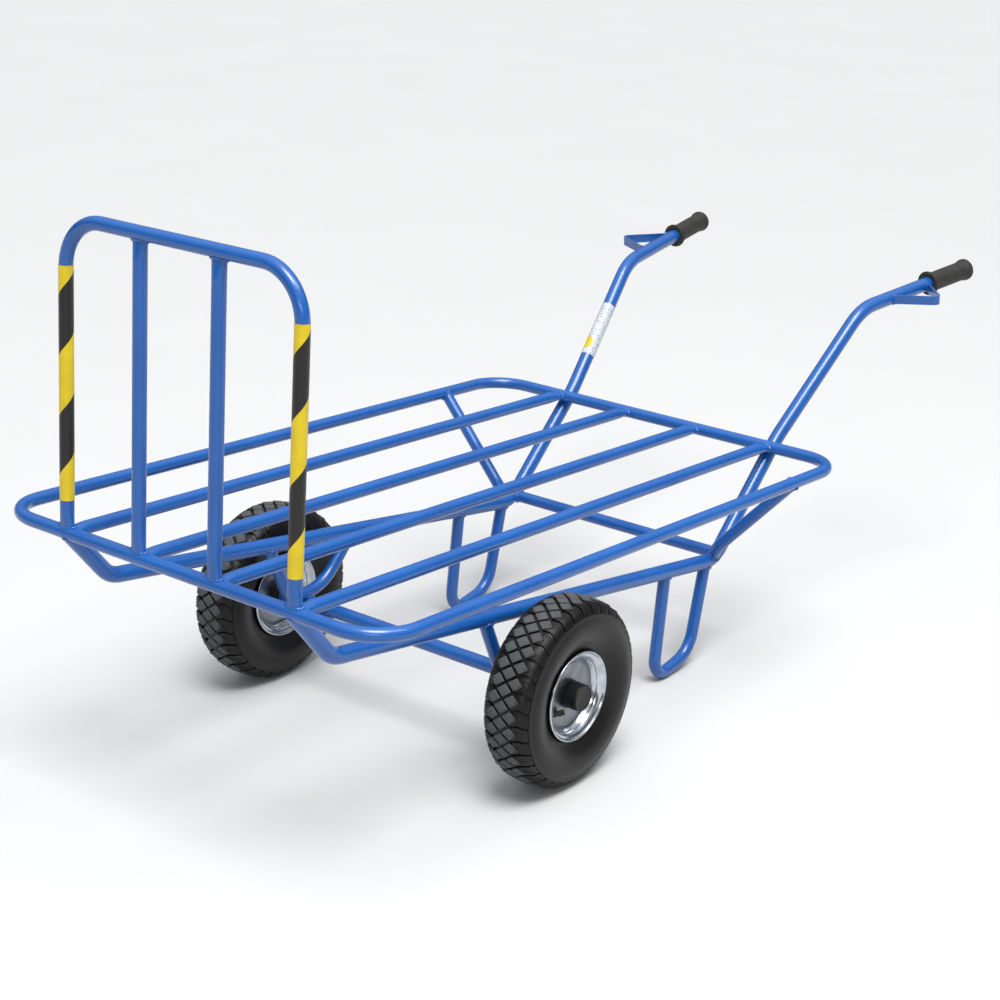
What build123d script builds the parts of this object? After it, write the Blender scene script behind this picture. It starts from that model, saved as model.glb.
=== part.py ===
from build123d import *
import math
import os

# Two-wheeled platform barrow of bent and welded steel tube, in millimetres.
# +Z is up, X runs across, and the headboard stands at the -Y end with the handles at +Y.
# "left" is the user's left at the handles, which is +X.
# The parts are first made about the front deck bar: x = 0 on the centre plane, y = 0 on
# the bar's centreline, z = 0 at deck level. write() then tips and moves them, so that the
# wheels and the legs stand on z = 0 and the deck falls a little to the rear.

# Deck, headboard and tube sizes
deck_length = 1038.0  # front bar to rear bar, centre to centre
deck_width = 650.0  # side bar to side bar, centre to centre
deck_front_radius = 64.0
deck_rear_radius = 60.0
frame_tube = 18.0  # outer diameter of ring, slats, hoop, legs, braces
frame_wall = 1.5
outer_slat_x = 195.0
inner_slat_x = 65.0
headboard_height = 400.0  # deck level to the hoop's top centreline
headboard_radius = 62.0
crimp_length = 30.0
crimp_width = 25.0
crimp_depth = 11.0

# Side rails: each is one tube from the front bar to the grip
rail_tube = 22.0
rail_wall = 2.0
rail_x = 193.0
front_drop = 74.0  # deck level down to the front bend
front_slope = 47.4  # degrees below level
riser_slope = 46.4  # degrees above level
rear_drop = 155.0  # deck level down to the rear bend
splay_rise = 4.0  # height above deck where the rail starts to splay
upper_rise = 189.0  # deck level up to the handle bend
splay_out = 29.5  # how far out the handle bend stands
handle_length = 278.0  # handle bend to tube end
handle_pitch = 7.3  # degrees above level
handle_splay = 7.6  # degrees outwards
front_bend_radius = 42.0
rear_bend_radius = 50.0
splay_bend_radius = 260.0
upper_bend_radius = 85.0
weld_gap = 0.2  # left for the weld where two tubes pass side by side

# Undercarriage
cross_tube_y = 930.0
cross_tube_lift = 8.0  # above the rail's straight lower run
brace_y = 902.0
brace_knee_out = 13.0  # knee outside, above and ahead of the brace's foot on the rail
brace_knee_up = 24.0
brace_knee_ahead = 13.0
brace_bend_radius = 50.0
leg_front_y = 787.0  # front limb at the rail
leg_rear_y = 896.0  # rear limb at the rail
leg_toe_y = 777.0
leg_foot_length = 94.0
leg_toe_radius = 27.0
leg_heel_radius = 46.0
leg_foot_rise = 13.0  # degrees, the foot rises to the rear
axle_y = 443.0
axle_drop = 205.5
leg_foot_drop = 313.0  # deck level to the lowest point of the leg's toe
bracket_front_y = 360.0
bracket_rear_y = 537.0
bracket_low_front_y = 406.0
bracket_low_rear_y = 474.0
bracket_front_radius = 30.0
bracket_rear_radius = 74.0
saddle_depth = 5.0  # how deep the bracket is notched over the axle

# Handles
guard_thickness = 3.0
guard_height = 14.0
guard_reach = 70.0  # handle axis to the loop's outer bend
guard_front = 66.0  # handle bend to where the loop leaves the tube
guard_back = 168.0
guard_tip = 112.0
guard_bend_radius = 9.0
grip_length = 108.0
grip_diameter = 31.0
grip_flange_diameter = 40.0
grip_flange_width = 5.0
grip_end_diameter = 36.0
grip_end_wall = 4.0
grip_edge = 1.2  # chamfer on the flange
grip_neck = 2.0  # slope from the flange to the body
grip_flare = 7.0  # length of the flare, and of the end knob past it
grip_end_chamfer = 3.0

# Tape and label
tape_bottom = 44.0
tape_top = 341.0
tape_thickness = 0.4
label_length = 100.0
label_start = 66.0  # along the riser from the splay bend

# Wheels
wheel_x = 263.0
tyre_diameter = 260.0
tyre_width = 80.0
seat_radius = 50.0  # where the tyre's beads sit on the rim
rim_width = 51.0  # between the two rim flanges
rim_flange_height = 12.0
rim_sheet = 2.0
rim_well = 1.0  # the barrel lies this far below the bead seat
rim_seat_start = 8.0  # the bead seat starts this far inside the flange
rim_seat_inset = 1.5
rim_lip = 6.0  # rolled edge, outwards from the flange
rim_lip_lift = 0.5
bead_width = 13.2
bead_gap = 0.3
bead_chamfer = 1.6
bead_lip = 2.0  # how far the side stands out just above the rim flange
tyre_side = [  # inset from the full width, share of the wall's height
    (8.5, 0.09),
    (2.5, 0.27),
    (0.0, 0.5),
    (0.8, 0.68),
    (3.6, 0.83),
    (9.0, 0.93),
    (20.0, 0.985),
]
tyre_crown = 10.5  # thickness under the tread
tyre_wall = 7.0
mouth_depth = 14.0  # opening between the beads
tube_seat = 4.2  # from the beads' seat to the inner tube
tube_wall = 2.0
tube_gap = 0.5
disc_face = 17.5  # wheel's centre to the outside of a disc
disc_gap = 0.1  # disc in barrel
disc_rim = 3.0  # width of the step round the disc
disc_step = 1.5
hub_length = 52.0
hub_diameter = 34.0
bush_diameter = 28.0
bush_flange_diameter = 33.0
bush_flange = 2.5
bush_length = 22.0
axle_diameter = 20.0
running_clearance = 0.05  # radial, axle in bush
end_clearance = 0.3
washer_diameter = 28.0
washer_thickness = 2.0
collar_diameter = 30.0
collar_width = 6.0
pin_diameter = 3.0
pin_length = 27.0
pin_clearance = 0.1
pin_head_sink = 0.4  # how far the looped head is let into the shank
axle_tail = 4.0  # axle left beyond the split pin
cap_wall = 1.5
cap_overlap = 8.0  # how far the cap covers the hub
cap_face = 1.5
cap_clearance = 1.0
cap_edge_radius = 1.2
valve_diameter = 6.0
valve_root = (0.0, 1.0)  # along the axle, and above the inner tube's inside
valve_tip = (20.8, 15.3)  # along the axle, and below the bead seat
valve_cap_diameter = 8.0
valve_cap_length = 8.0
valve_angle = 122.0

frame_r = frame_tube / 2
rail_r = rail_tube / 2
axle_r = axle_diameter / 2
tyre_r = tyre_diameter / 2
half_width = deck_width / 2
hub_r = hub_diameter / 2
barrel_r = seat_radius - rim_well


# ---- helpers ----


def line_tube(points, radii, radius):
    """A solid round bar along straight runs joined by tangent bends."""
    path = FilletPolyline(*points, radius=radii)
    start = Plane(origin=path @ 0, z_dir=path % 0)
    return sweep(start * Circle(radius), path=path)


def bar(start, end, radius):
    """A straight solid bar between two points."""
    axis = Vector(*end) - Vector(*start)
    plane = Plane(origin=start, z_dir=axis)
    return extrude(plane * Circle(radius), axis.length)


def main_solid(shape):
    """The largest solid of a cut tube, without the offcut inside the other tube."""
    return max(shape.solids(), key=lambda solid: solid.volume)


def crimped_end(radius, squeeze):
    """A tube end squeezed from round at z = 0 to a flat oval at z = crimp_length."""
    oval = Ellipse(crimp_width / 2 - squeeze, crimp_depth / 2 - squeeze)
    sections = [Circle(radius), Pos(0, 0, crimp_length) * oval]
    return loft(sections, ruled=True)


def crimped_bar(length, radius, squeeze):
    """A bar along +Z from 0 to length with both ends squeezed flat, wide along X."""
    middle = Pos(0, 0, crimp_length) * extrude(Circle(radius), length - 2 * crimp_length)
    top = Pos(0, 0, length - crimp_length) * crimped_end(radius, squeeze)
    bottom = Pos(0, 0, crimp_length) * Rot(180, 0, 0) * crimped_end(radius, squeeze)
    return middle + top + bottom


def mirrored(shape):
    return mirror(shape, about=Plane.YZ)


def polygon_ring(points):
    """Turns a closed outline of (x, radius) points about the X axis."""
    outline = make_face(Polyline(*points, close=True))
    return revolve(outline, axis=Axis.X, revolution_arc=360)


def sleeve(inner, outer, start, end):
    """A round sleeve along X."""
    ring = Circle(outer) - Circle(inner)
    return extrude(Plane(origin=(start, 0, 0), z_dir=(1, 0, 0)) * ring, end - start)


# ---- points of the left side rail ----

rail_span = rail_r + frame_r + weld_gap


def slope(angle):
    return math.tan(math.radians(angle))


front_bend = Vector(rail_x, front_drop / slope(front_slope), -front_drop)
riser_y = deck_length + rail_span / math.sin(math.radians(riser_slope))
rear_bend = Vector(rail_x, riser_y - rear_drop / slope(riser_slope), -rear_drop)
splay_bend = Vector(rail_x, riser_y + splay_rise / slope(riser_slope), splay_rise)
upper_bend = Vector(
    rail_x + splay_out, riser_y + upper_rise / slope(riser_slope), upper_rise
)
handle_flat = math.cos(math.radians(handle_pitch))
handle_way = Vector(
    handle_flat * math.sin(math.radians(handle_splay)),
    handle_flat * math.cos(math.radians(handle_splay)),
    math.sin(math.radians(handle_pitch)),
)
handle_end = upper_bend + handle_way * handle_length
rail_points = [
    (rail_x, 0, 0),
    front_bend,
    rear_bend,
    splay_bend,
    upper_bend,
    handle_end,
]
rail_radii = [
    front_bend_radius,
    rear_bend_radius,
    splay_bend_radius,
    upper_bend_radius,
]


def rail_level(y):
    """Height of the rail's lower run at a place along the deck."""
    share = (y - front_bend.Y) / (rear_bend.Y - front_bend.Y)
    return front_bend.Z + share * (rear_bend.Z - front_bend.Z)


# ---- welded frame ----


def ring_solid(radius):
    """Ring made of two halves, joined on the centre plane."""
    halves = []
    for side in (1, -1):
        points = [
            (0, 0, 0),
            (side * half_width, 0, 0),
            (side * half_width, deck_length, 0),
            (0, deck_length, 0),
        ]
        halves.append(line_tube(points, [deck_front_radius, deck_rear_radius], radius))
    return halves[0] + halves[1]


def slat_solid(x, radius, squeeze):
    upright = crimped_bar(deck_length, radius, squeeze)
    return Pos(x, 0, 0) * Rot(-90, 0, 0) * upright


def hoop_solid(radius, squeeze):
    """Headboard hoop: an upside-down U with both feet squeezed flat."""
    points = [
        (-outer_slat_x, 0, crimp_length),
        (-outer_slat_x, 0, headboard_height),
        (outer_slat_x, 0, headboard_height),
        (outer_slat_x, 0, crimp_length),
    ]
    shape = line_tube(points, [headboard_radius, headboard_radius], radius)
    for x in (-outer_slat_x, outer_slat_x):
        foot = Rot(180, 0, 0) * crimped_end(radius, squeeze)
        shape = shape + Pos(x, 0, crimp_length) * foot
    return shape


def post_solid(x, radius, squeeze):
    return Pos(x, 0, 0) * crimped_bar(headboard_height, radius, squeeze)


def rail_solid(radius):
    return line_tube(rail_points, rail_radii, radius)


def leg_corners():
    """Corners of the hairpin leg in the plane of the rail, its toe corner at z = 0."""
    foot_end = leg_toe_y + leg_foot_length
    return [
        Vector(rail_x, leg_front_y, rail_level(leg_front_y) + leg_foot_drop),
        Vector(rail_x, leg_toe_y, 0),
        Vector(rail_x, foot_end, slope(leg_foot_rise) * leg_foot_length),
        Vector(rail_x, leg_rear_y, rail_level(leg_rear_y) + leg_foot_drop),
    ]


def toe_centre():
    """Centre of the leg's toe bend, with the outside of the bend at leg_foot_drop."""
    top, toe, foot_end, _ = leg_corners()
    front = (top - toe).normalized()
    foot = (foot_end - toe).normalized()
    half = math.radians(front.get_angle(foot)) / 2
    centre = toe + (front + foot).normalized() * (leg_toe_radius / math.sin(half))
    return Vector(rail_x, centre.Y, leg_toe_radius + frame_r - leg_foot_drop), centre.Z


def leg_solid(radius):
    """The leg lowered until the outside of its toe bend is at leg_foot_drop."""
    centre, height = toe_centre()
    leg = line_tube(leg_corners(), [leg_toe_radius, leg_heel_radius], radius)
    return Pos(0, 0, centre.Z - height) * leg


def bracket_solid(radius):
    """Bent tube under the rail that sits on the axle with its low bend."""
    seat = -axle_drop + axle_r + frame_r - saddle_depth
    points = [
        (rail_x, bracket_front_y, rail_level(bracket_front_y)),
        (rail_x, bracket_low_front_y, seat),
        (rail_x, bracket_low_rear_y, seat),
        (rail_x, bracket_rear_y, rail_level(bracket_rear_y)),
    ]
    return line_tube(points, [bracket_front_radius, bracket_rear_radius], radius)


def brace_solid(radius):
    """Tube from the side bar down to the rail's rear bend, started outside the bar."""
    low = rail_level(brace_y)
    side = Vector(half_width, brace_y, 0)
    knee = Vector(rail_x + brace_knee_out, brace_y, low + brace_knee_up)
    foot = (rail_x, brace_y + brace_knee_ahead, low)
    start = side + (side - knee).normalized() * frame_tube
    return line_tube([start, knee, foot], [brace_bend_radius], radius)


def cross_solid(radius):
    level = rail_level(cross_tube_y) + cross_tube_lift
    return bar((-rail_x, cross_tube_y, level), (rail_x, cross_tube_y, level), radius)


def build_frame():
    """Every welded tube, hollow and coped against the tubes that it meets."""
    inner_r = frame_r - frame_wall
    ring_outer = ring_solid(frame_r)
    hoop_outer = hoop_solid(frame_r, 0)
    rail_outer = rail_solid(rail_r)
    both_rails = [rail_outer, mirrored(rail_outer)]
    parts = {}
    parts["deck_ring"] = ring_outer - ring_solid(inner_r)
    hoop = hoop_outer - hoop_solid(inner_r, frame_wall)
    parts["headboard_hoop"] = main_solid(hoop - ring_outer)
    slats = []
    for number, x in enumerate((outer_slat_x, inner_slat_x, -inner_slat_x, -outer_slat_x)):
        solid = slat_solid(x, frame_r, 0)
        tube = solid - slat_solid(x, inner_r, frame_wall) - ring_outer
        if abs(x) == outer_slat_x:
            slats.append(solid)
            tube = tube - hoop_outer
        parts[f"deck_slat_{number + 1}"] = main_solid(tube)
    for side, x in (("left", inner_slat_x), ("right", -inner_slat_x)):
        post = post_solid(x, frame_r, 0) - post_solid(x, inner_r, frame_wall)
        parts[f"headboard_post_{side}"] = main_solid(post - ring_outer - hoop_outer)
    rail = rail_outer - rail_solid(rail_r - rail_wall)
    rail = main_solid(rail - ring_outer - slats[0])
    leg = main_solid(leg_solid(frame_r) - leg_solid(inner_r) - rail_outer)
    bracket = bracket_solid(frame_r) - bracket_solid(inner_r)
    bracket = main_solid(bracket - rail_outer - build_axle())
    brace_outer = brace_solid(frame_r)
    brace = main_solid(brace_outer - brace_solid(inner_r) - rail_outer - ring_outer)
    cross = cross_solid(frame_r) - cross_solid(inner_r)
    for cutter in both_rails:
        cross = cross - cutter
    parts["rear_cross_tube"] = main_solid(cross)
    pairs = {
        "side_rail": rail,
        "leg": leg,
        "axle_bracket": bracket,
        "brace": brace,
    }
    for name, shape in pairs.items():
        parts[f"{name}_left"] = shape
        parts[f"{name}_right"] = mirrored(shape)
    return parts


# ---- handles, tape and label ----

handle_side = Vector(0, 0, 1).cross(handle_way).normalized() * -1
handle_plane = Plane(origin=upper_bend, x_dir=handle_side, z_dir=handle_way)


def build_guard():
    """Flat steel strap bent to a loop on the outer side of the handle."""
    start = upper_bend + handle_way * guard_front
    tip = upper_bend + handle_way * guard_tip + handle_side * guard_reach
    end = upper_bend + handle_way * guard_back
    path = FilletPolyline(start, tip, end, radius=guard_bend_radius)
    lift = handle_way.cross(handle_side)
    section = Plane(origin=start, x_dir=lift, z_dir=path % 0)
    strap = sweep(section * Rectangle(guard_height, guard_thickness), path=path)
    tube = bar(upper_bend, handle_end, rail_r)
    return main_solid(strap - tube)


def build_grip():
    """Moulded rubber grip: inner flange, ribbed body and a flared closed end."""
    start = handle_length + grip_end_wall - grip_length
    body_r = grip_diameter / 2
    flange_r = grip_flange_diameter / 2
    end_r = grip_end_diameter / 2
    profile = [
        (0, 0),
        (flange_r - grip_edge, 0),
        (flange_r, grip_edge),
        (flange_r, grip_flange_width - grip_edge),
        (flange_r - grip_edge, grip_flange_width),
        (body_r, grip_flange_width + grip_neck),
        (body_r, grip_length - 2 * grip_flare),
        (end_r, grip_length - grip_flare),
        (end_r, grip_length - grip_end_chamfer),
        (end_r - grip_end_chamfer, grip_length),
        (0, grip_length),
    ]
    outline = make_face(Polyline(*[(r, 0, z) for r, z in profile], close=True))
    body = revolve(outline, axis=Axis.Z, revolution_arc=360)
    bore = extrude(Circle(rail_r), grip_length - grip_end_wall)
    return handle_plane.offset(start).location * (body - bore)


def build_tape(x):
    ring = Circle(frame_r + tape_thickness) - Circle(frame_r)
    return Pos(x, 0, tape_bottom) * extrude(ring, tape_top - tape_bottom)


def build_label():
    """Blank wrap label round the right riser, between the splay and handle bends."""
    way = (upper_bend - splay_bend).normalized()
    start = splay_bend + way * label_start
    ring = Circle(rail_r + tape_thickness) - Circle(rail_r)
    return mirrored(extrude(Plane(origin=start, z_dir=way) * ring, label_length))


# ---- axle and wheels, made about the wheel's centre with the outer side at +X ----

bush_end = hub_length / 2 + bush_flange
washer_start = bush_end + end_clearance
washer_end = washer_start + washer_thickness
pin_x = washer_end + pin_diameter / 2 + pin_clearance
axle_end = pin_x + axle_tail
cap_end = axle_end + cap_clearance + cap_face


def build_axle():
    """Solid axle bar with a welded stop collar inside each wheel."""
    reach = wheel_x + axle_end
    shape = bar((-reach, 0, 0), (reach, 0, 0), axle_r)
    for side in (1, -1):
        outer = side * (wheel_x - washer_end)
        inner = side * (wheel_x - washer_end - collar_width)
        shape = shape + bar((inner, 0, 0), (outer, 0, 0), collar_diameter / 2)
        x = side * (wheel_x + pin_x)
        hole = bar((x, 0, -axle_diameter), (x, 0, axle_diameter), pin_diameter / 2 + pin_clearance)
        shape = shape - hole
    return Pos(0, axle_y, -axle_drop) * shape


def build_washer(start):
    return sleeve(axle_r + pin_clearance, washer_diameter / 2, start, start + washer_thickness)


def build_pin():
    """Split pin: shank with a small looped head on top."""
    low = -pin_length / 2
    shank = bar((pin_x, 0, low), (pin_x, 0, -low - pin_diameter), pin_diameter / 2)
    head = Pos(pin_x, 0, -low - pin_diameter / 2 - pin_head_sink) * Box(
        pin_diameter, pin_diameter * 2, pin_diameter
    )
    return shank + fillet(head.edges(), pin_diameter / 4)


def tyre_section():
    """Half of the tyre's outside, from the bead up to the crown."""
    half = tyre_width / 2
    bead_x = rim_width / 2 - bead_gap
    bead_r = seat_radius + bead_gap
    flange_r = seat_radius + rim_flange_height
    wall = tyre_r - flange_r
    bead = [
        (bead_x - bead_chamfer, bead_r),
        (bead_x, bead_r + 1.5 * bead_chamfer),
        (bead_x, flange_r - bead_lip / 2),
        (bead_x + bead_lip, flange_r + bead_lip),
    ]
    side = [(half - inset, flange_r + wall * share) for inset, share in tyre_side]
    return bead, side + [(0, tyre_r)]


def tyre_cavity(gap):
    """The hollow for the inner tube, or the inner tube itself with a gap."""
    top = tyre_r - tyre_crown
    low = seat_radius + bead_gap + tube_seat
    half_high = (top - low) / 2
    half_wide = tyre_width / 2 - tyre_wall
    place = Pos(0, (top + low) / 2, 0)
    return place * Ellipse(half_wide - gap, half_high - gap)


def build_tyre():
    bead, side = tyre_section()
    foot_x, bead_r = bead[0]
    outline = Polyline(*bead)
    right = Spline(bead[-1], *side, tangents=[(1, 1), (-1, 0)])
    left = mirror(right, about=Plane.YZ)
    left_bead = mirror(outline, about=Plane.YZ)
    base = Line((foot_x, bead_r), (-foot_x, bead_r))
    face = make_face([outline, right, left, left_bead, base])
    mouth_half = rim_width / 2 - bead_gap - bead_width
    mouth = Pos(0, bead_r + mouth_depth / 2) * Rectangle(2 * mouth_half, mouth_depth)
    return revolve(face - tyre_cavity(0) - mouth, axis=Axis.X, revolution_arc=360)


def build_inner_tube():
    ring = tyre_cavity(tube_gap) - tyre_cavity(tube_gap + tube_wall)
    return revolve(ring, axis=Axis.X, revolution_arc=360)


def barrel_outline():
    """Section of half the rim barrel, from the centre plane out to the rolled flange."""
    flange_x = rim_width / 2
    seat = seat_radius
    top = seat + rim_flange_height
    lip_top = top + rim_lip_lift
    sheet = rim_sheet
    seat_x = flange_x - rim_seat_start
    return [
        (0, barrel_r),
        (seat_x, barrel_r),
        (seat_x + rim_well, seat),
        (flange_x - rim_seat_inset, seat),
        (flange_x, seat + sheet),
        (flange_x, top - sheet),
        (flange_x + sheet, top),
        (flange_x + rim_lip - rim_lip_lift, lip_top),
        (flange_x + rim_lip, lip_top - sheet),
        (flange_x + 1.5 * sheet, lip_top - 1.5 * sheet),
        (flange_x + sheet, lip_top - 2 * sheet),
        (flange_x + sheet, seat + sheet / 2),
        (flange_x - sheet / 2, barrel_r - sheet),
        (0, barrel_r - sheet),
    ]


def disc_outline():
    """Section of a pressed wheel disc, from the hub out to its stepped edge."""
    sheet = rim_sheet
    edge_r = barrel_r - sheet - disc_gap
    step_r = edge_r - disc_rim
    low = disc_face - disc_step
    return [
        (disc_face, hub_r),
        (disc_face, step_r),
        (low, step_r + disc_step),
        (low, edge_r),
        (low - sheet, edge_r),
        (low - sheet, step_r + disc_step),
        (disc_face - sheet, step_r),
        (disc_face - sheet, hub_r),
    ]


def valve_points():
    """The valve leaves the inner tube and slants out through the barrel and the disc."""
    tube_low = seat_radius + bead_gap + tube_seat + tube_gap
    root_x, rise = valve_root
    tip_x, drop = valve_tip
    return Vector(root_x, 0, tube_low + rise), Vector(tip_x, 0, seat_radius - drop)


def turned(shape, angle):
    return Rot(angle, 0, 0) * shape


def valve_bar(radius):
    start, end = valve_points()
    return turned(bar(start, end, radius), valve_angle)


def build_ring(outline, side):
    """Barrel half or disc on one side of the wheel. The outer one lets the valve through."""
    ring = polygon_ring([(side * x, r) for x, r in outline])
    if side > 0:
        ring = ring - valve_bar(valve_diameter / 2 + pin_clearance)
    return ring


def build_bush(side):
    """Flanged nylon bush pressed in one end of the hub."""
    face = side * hub_length / 2
    bore = axle_r + running_clearance
    body = sleeve(bore, bush_diameter / 2, face - side * bush_length, face)
    flange = sleeve(bore, bush_flange_diameter / 2, face, face + side * bush_flange)
    return body + flange


def build_hub_cap():
    """Push-on plastic cap over the hub's outer end and the axle's end."""
    start = hub_length / 2 - cap_overlap
    cap = sleeve(hub_r, hub_r + cap_wall, start, cap_end)
    face = bar((cap_end - cap_face, 0, 0), (cap_end, 0, 0), hub_r)
    cap = cap + face
    rim_edges = cap.edges().filter_by(GeomType.CIRCLE).sort_by(Axis.X)[-1:]
    return fillet(rim_edges, cap_edge_radius)


def build_valve_stem():
    """Valve stem moulded against the outside of the inner tube."""
    tube = revolve(tyre_cavity(tube_gap), axis=Axis.X, revolution_arc=360)
    return main_solid(valve_bar(valve_diameter / 2) - tube)


def build_valve_cap():
    start, end = valve_points()
    way = (end - start).normalized()
    return turned(bar(end, end + way * valve_cap_length, valve_cap_diameter / 2), valve_angle)


def build_wheel():
    """Left wheel about its own centre. The right wheel is its mirror image."""
    return {
        "tyre": build_tyre(),
        "inner_tube": build_inner_tube(),
        "rim_outer": build_ring(barrel_outline(), 1),
        "rim_inner": build_ring(barrel_outline(), -1),
        "disc_outer": build_ring(disc_outline(), 1),
        "disc_inner": build_ring(disc_outline(), -1),
        "hub": sleeve(bush_diameter / 2, hub_r, -hub_length / 2, hub_length / 2),
        "bush_outer": build_bush(1),
        "bush_inner": build_bush(-1),
        "hub_cap": build_hub_cap(),
        "valve_stem": build_valve_stem(),
        "valve_cap": build_valve_cap(),
        "washer_outer": build_washer(washer_start),
        "washer_inner": build_washer(-washer_end),
        "split_pin": build_pin(),
    }


def build_all():
    parts = build_frame()
    guard = build_guard()
    grip = build_grip()
    parts["hand_guard_left"] = guard
    parts["hand_guard_right"] = mirrored(guard)
    parts["grip_left"] = grip
    parts["grip_right"] = mirrored(grip)
    parts["hazard_tape_left"] = build_tape(outer_slat_x)
    parts["hazard_tape_right"] = build_tape(-outer_slat_x)
    parts["label"] = build_label()
    parts["axle_bar"] = build_axle()
    for name, shape in build_wheel().items():
        left = Pos(wheel_x, axle_y, -axle_drop) * shape
        parts[f"{name}_left"] = left
        parts[f"{name}_right"] = mirrored(left)
    return parts


def stance():
    """Angle by which the deck falls to the rear when wheels and legs share the ground."""
    wheel = Vector(0, axle_y, -axle_drop)
    toe, _ = toe_centre()
    reach = Vector(0, toe.Y - wheel.Y, toe.Z - wheel.Z)
    bend = leg_toe_radius + frame_r
    return math.atan2(reach.Z, reach.Y) + math.asin((tyre_r - bend) / reach.length)


def write():
    """Stands the barrow on z = 0, centred along Y on its whole length."""
    parts = build_all()
    tilt = stance()
    lift = tyre_r + axle_y * math.sin(tilt) + axle_drop * math.cos(tilt)
    tip = Rot(-math.degrees(tilt), 0, 0)
    front = (tip * parts["deck_ring"]).bounding_box().min.Y
    rear = (tip * parts["grip_left"]).bounding_box().max.Y
    stand = Pos(0, -(front + rear) / 2, lift) * tip
    os.makedirs("parts", exist_ok=True)
    for name, shape in parts.items():
        placed = stand * shape
        placed.label = name
        export_step(placed, f"parts/{name}.step")
    print("tipped by", math.degrees(tilt), "moved by", -(front + rear) / 2, "and up by", lift)


write()
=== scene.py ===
import math

import bmesh
import bpy
from mathutils import Matrix, Vector


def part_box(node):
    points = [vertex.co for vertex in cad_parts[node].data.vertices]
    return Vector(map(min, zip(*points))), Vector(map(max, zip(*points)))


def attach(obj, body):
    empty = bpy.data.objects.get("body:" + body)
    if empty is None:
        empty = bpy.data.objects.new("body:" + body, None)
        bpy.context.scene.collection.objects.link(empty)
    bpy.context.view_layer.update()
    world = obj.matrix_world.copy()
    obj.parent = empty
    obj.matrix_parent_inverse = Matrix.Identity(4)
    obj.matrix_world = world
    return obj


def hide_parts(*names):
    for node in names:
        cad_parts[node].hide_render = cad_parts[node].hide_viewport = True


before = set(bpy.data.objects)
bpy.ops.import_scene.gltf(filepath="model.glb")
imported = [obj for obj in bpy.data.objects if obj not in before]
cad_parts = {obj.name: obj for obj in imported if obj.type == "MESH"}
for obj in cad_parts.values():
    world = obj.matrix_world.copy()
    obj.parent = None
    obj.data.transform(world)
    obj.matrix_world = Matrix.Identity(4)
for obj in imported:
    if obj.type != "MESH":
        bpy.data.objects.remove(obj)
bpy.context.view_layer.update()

MM = 0.001
SIDES = {"left": 1, "right": -1}


# ---------------------------------------------------------------- sizes

# The deck falls to the rear by this many degrees. Its own frame has y = 0 and z = 0 on the
# front bar, and stands this far along and up from the floor's frame, in millimetres.
DECK_FALL = 3.575
DECK_PLACE = (0.0, -763.69, 362.72)
DECK_LENGTH = 1038.0
HEADBOARD_HEIGHT = 400.0
TO_FLOOR = Matrix.Translation(Vector(DECK_PLACE) * MM) @ Matrix.Rotation(
    math.radians(-DECK_FALL), 4, "X"
)

# Tubes
FRAME_RADIUS = 9.0
RAIL_RADIUS = 11.0
AXLE_RADIUS = 10.0
CRIMP_HALF_WIDTH = 12.5
CRIMP_HALF_DEPTH = 5.5
OUTER_SLAT_X = 195.0
INNER_SLAT_X = 65.0
RAIL_X = 193.0

# Undercarriage, in the deck's frame. The ways are those in which each tube leaves the rail.
RAIL_START = (68.05, -74.0)  # along and up, where the rail's lower run begins
RAIL_FALL = 0.09527  # of the lower run
LEG_TOPS = ((787, (0, -10, -176)), (896, (0, -25, -145)))  # along, and way
BRACKET_ENDS = ((360, (0, 46, -89.7)), (537, (0, -63, -72.8)))  # along, and way
AXLE_PLACE = (443, -205.5)  # along and up
BRACE_TOP = (325, 902)  # across and along, on the deck's side bar
BRACE_FOOT = 915  # along the rail
BRACE_BEND = (13, -13, 24)  # from the brace's foot
CROSS_TUBE = (930, 8)  # along, and above the middle of the rail

# Weld beads. Each pair is half the joint's size along the main tube and across it.
BEAD_RADIUS = 2.3
BRACKET_BEAD = (8.0, 6.0)
RAIL_BEAD = (11.0, 9.0)
STRAP_BEAD = (1.2, 6.6)

# Wheel, in millimetres from its centre: along the axle, then out from it
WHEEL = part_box("tyre_left")
WHEEL_CENTRE = (WHEEL[0] + WHEEL[1]) / 2
TYRE_RADIUS = (WHEEL[1].z - WHEEL[0].z) / 2 / MM
TREAD_DEPTH = 4.6
CROWN_RADIUS = 120.0  # of the arc across the tread
SHOULDER_RADIUS = 16.0
SHOULDER_START = 22.0  # along the tread from the middle, where the shoulder's arc begins
TREAD_EDGE = 38.0
PITCH_COUNT = 36  # blocks round the tyre
DIAMOND_SIDE = 13.3
DIAMOND_STRETCH = 1.22  # blocks and their columns are this much wider across the tread
BLOCK_FOOT = -1.5  # blocks start this far below the groove floor
LUG_GAP = 2.5  # between the diamonds and the shoulder lugs
LUG_GROOVE = 3.6
LUG_DROP = 1.6  # how much lower a lug is than a diamond
LUG_WAVE = 2.4  # sideways sweep of the grooves between lugs
LUG_FALL = 1.4  # how much thinner a lug is at the tread's edge
RIB_COUNT = 5  # fine ribs on each shoulder lug
RIB_MARGIN = 5.2  # part of the pitch that the ribs leave free
RIB_INSET = 6.5  # how much shorter a rib is than its lug
RIB_SHIFT = 3.0  # of the ribs towards the tread's edge
RIB_WIDTH = 1.6
RIB_HEIGHT = 1.1
RIB_FOOT = 2.4  # below the diamonds' tops
SCUFF_AND_HIGHLIGHT_RANGE = (3.0, 1.4)  # below the diamonds' tops, where the grey of scuffing and painted highlight starts and is full
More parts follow.
